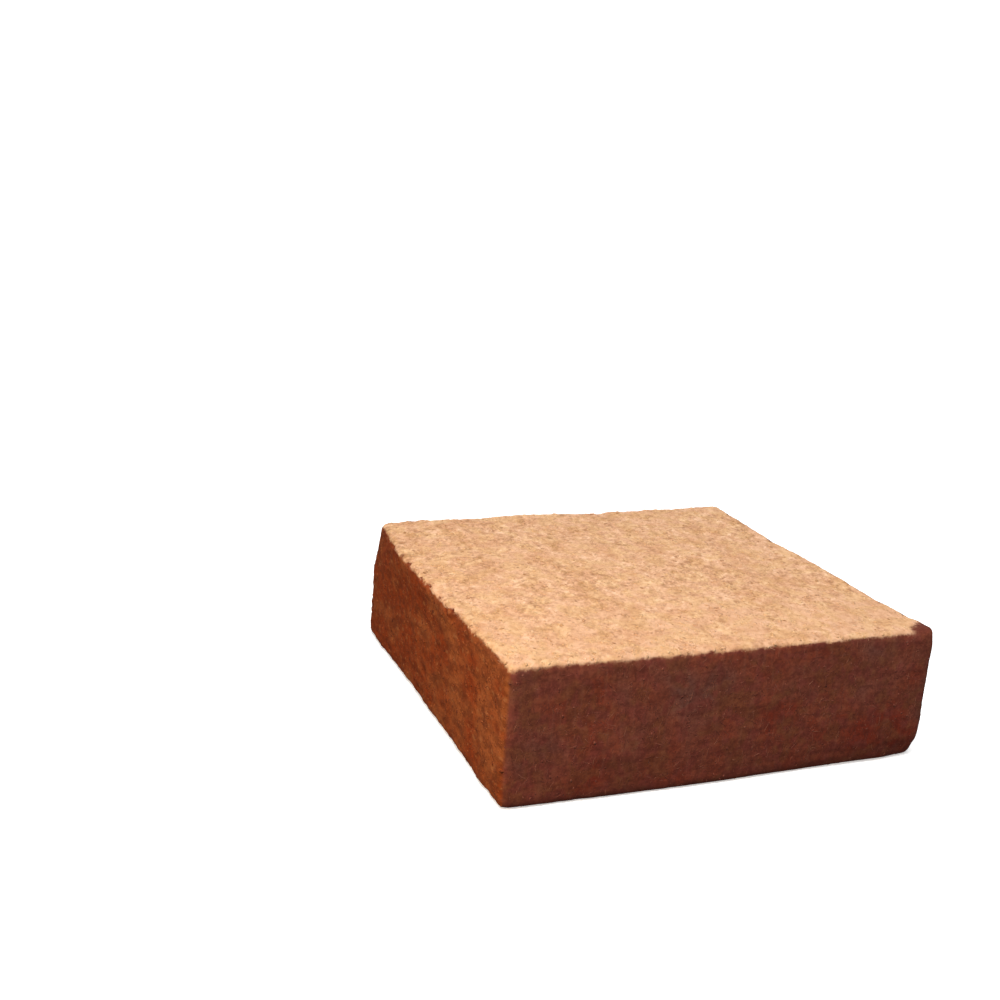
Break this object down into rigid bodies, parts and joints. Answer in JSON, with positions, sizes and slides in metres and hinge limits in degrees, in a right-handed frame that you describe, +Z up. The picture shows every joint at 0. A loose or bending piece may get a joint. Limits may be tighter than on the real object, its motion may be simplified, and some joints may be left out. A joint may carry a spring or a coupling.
{
  "type": "coconut coir bale",
  "caption": "Square flat block of pressed coconut coir with rounded, crumbling edges, lying on its broad face.",
  "frame": {"origin": "middle of the flat underside", "axes": "+Z up out of the broad top face, +X along the front edge, +Y from the front towards the back"},
  "size_m": [0.3104, 0.3038, 0.0921],
  "materials": {
    "coir": "dry pressed fibre and pith, fully matte"
  },
  "bodies": {
    "root": {"coir_bale": "coir"}
  },
  "joints": []
}
